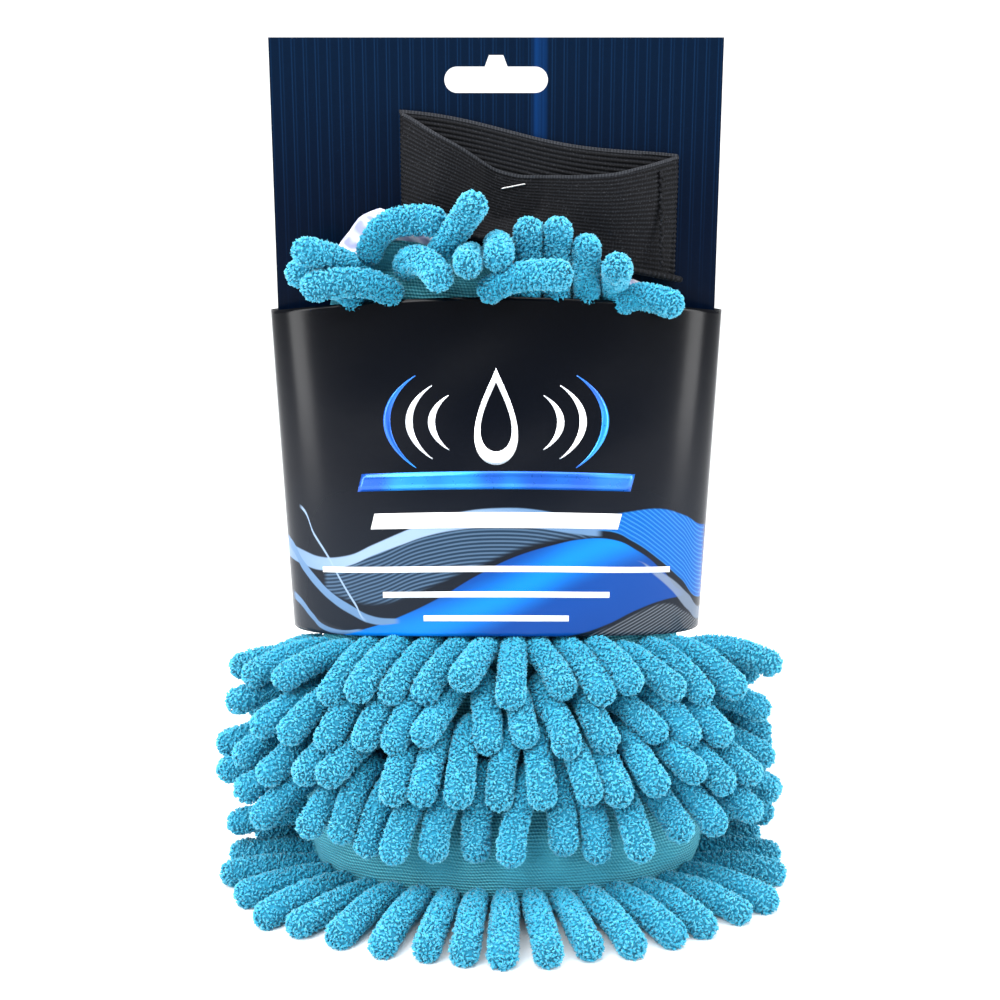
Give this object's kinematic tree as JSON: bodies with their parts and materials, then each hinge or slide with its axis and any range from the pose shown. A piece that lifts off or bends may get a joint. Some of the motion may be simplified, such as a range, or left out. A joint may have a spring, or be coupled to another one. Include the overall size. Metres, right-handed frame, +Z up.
{
  "type": "wash mitt",
  "caption": "Noodle-pile car wash mitt with a ribbed elastic cuff, held by a printed wrap band and a staple on a flat hanging card with a euro slot, standing on its splayed noodles.",
  "frame": {"origin": "middle of the footprint, on the ground", "axes": "+Z up along the card, +X to the right seen from the printed front, the front faces -Y"},
  "size_m": [0.1886, 0.1178, 0.267],
  "materials": {
    "printed_card": "glossy printed card with fine upright stripes",
    "band_print": "glossy printed card with abstract blue waves",
    "card_core": "unprinted card, matt",
    "staple_wire": "plain wire",
    "elastic_rib": "ribbed knitted elastic",
    "base_knit": "fine ribbed knit",
    "lining_satin": "smooth woven lining with a slight sheen",
    "chenille": "short cut microfibre pile"
  },
  "bodies": {
    "mitt_on_card": {"backing_card": "printed_card", "sleeve_band": "band_print", "band_glue_lap": "card_core", "staple": "staple_wire", "elastic_cuff": "elastic_rib", "cuff_side_seam": "elastic_rib", "cuff_join_binding": "elastic_rib", "front_panel": "base_knit", "back_panel": "base_knit", "lining_bag": "lining_satin", "left_side_seam": "base_knit", "right_side_seam": "base_knit", "front_pressed_noodles": "chenille", "back_pressed_noodles": "chenille", "front_noodle_row_1": "chenille", "front_noodle_row_2": "chenille", "front_noodle_row_3": "chenille", "front_noodle_row_4": "chenille", "back_noodle_row_1": "chenille", "back_noodle_row_2": "chenille", "back_noodle_row_3": "chenille", "back_noodle_row_4": "chenille", "back_noodle_row_5": "chenille", "front_bottom_fringe": "chenille", "back_bottom_fringe": "chenille", "tucked_crown_noodles": "chenille"},
    "leaning_crown_noodle": {"leaning_crown_noodle": "chenille"},
    "left_arching_crown_noodle": {"left_arching_crown_noodle": "chenille"},
    "middle_upright_crown_noodle": {"middle_upright_crown_noodle": "chenille"},
    "second_upright_crown_noodle": {"second_upright_crown_noodle": "chenille"},
    "tall_upright_crown_noodle": {"tall_upright_crown_noodle": "chenille"},
    "short_upright_crown_noodle": {"short_upright_crown_noodle": "chenille"},
    "left_outward_crown_noodle": {"left_outward_crown_noodle": "chenille"}
  },
  "joints": [
    {"name": "leaning_crown_bend", "type": "hinge", "parent": "mitt_on_card", "child": "leaning_crown_noodle", "pos_m": [-0.01794, 0.00934, 0.2044], "axis": [0.803, 0, -0.596], "range_deg": [-20, 30], "stiffness_Nm_per_rad": 0.01},
    {"name": "left_arching_crown_bend", "type": "hinge", "parent": "mitt_on_card", "child": "left_arching_crown_noodle", "pos_m": [-0.03674, 0.01173, 0.2052], "axis": [0.4992, 0, -0.8665], "range_deg": [-4, 45], "stiffness_Nm_per_rad": 0.01},
    {"name": "middle_upright_crown_bend", "type": "hinge", "parent": "mitt_on_card", "child": "middle_upright_crown_noodle", "pos_m": [0.00835, 0.00853, 0.1949], "axis": [1, 0, 0], "range_deg": [-8, 28], "stiffness_Nm_per_rad": 0.01},
    {"name": "second_upright_crown_bend", "type": "hinge", "parent": "mitt_on_card", "child": "second_upright_crown_noodle", "pos_m": [0.01716, 0.00866, 0.1946], "axis": [1, 0, 0], "range_deg": [-8, 38], "stiffness_Nm_per_rad": 0.01},
    {"name": "tall_upright_crown_bend", "type": "hinge", "parent": "mitt_on_card", "child": "tall_upright_crown_noodle", "pos_m": [0.02616, 0.00895, 0.1939], "axis": [0.9998, 0, 0.0189], "range_deg": [-15, 45], "stiffness_Nm_per_rad": 0.01},
    {"name": "short_upright_crown_bend", "type": "hinge", "parent": "mitt_on_card", "child": "short_upright_crown_noodle", "pos_m": [0.03515, 0.00926, 0.1932], "axis": [0.9995, 0, 0.0317], "range_deg": [-15, 45], "stiffness_Nm_per_rad": 0.01},
    {"name": "left_outward_crown_bend", "type": "hinge", "parent": "mitt_on_card", "child": "left_outward_crown_noodle", "pos_m": [-0.04444, 0.01253, 0.2003], "axis": [0.2822, 0, 0.9594], "range_deg": [-20, 5], "stiffness_Nm_per_rad": 0.01}
  ]
}
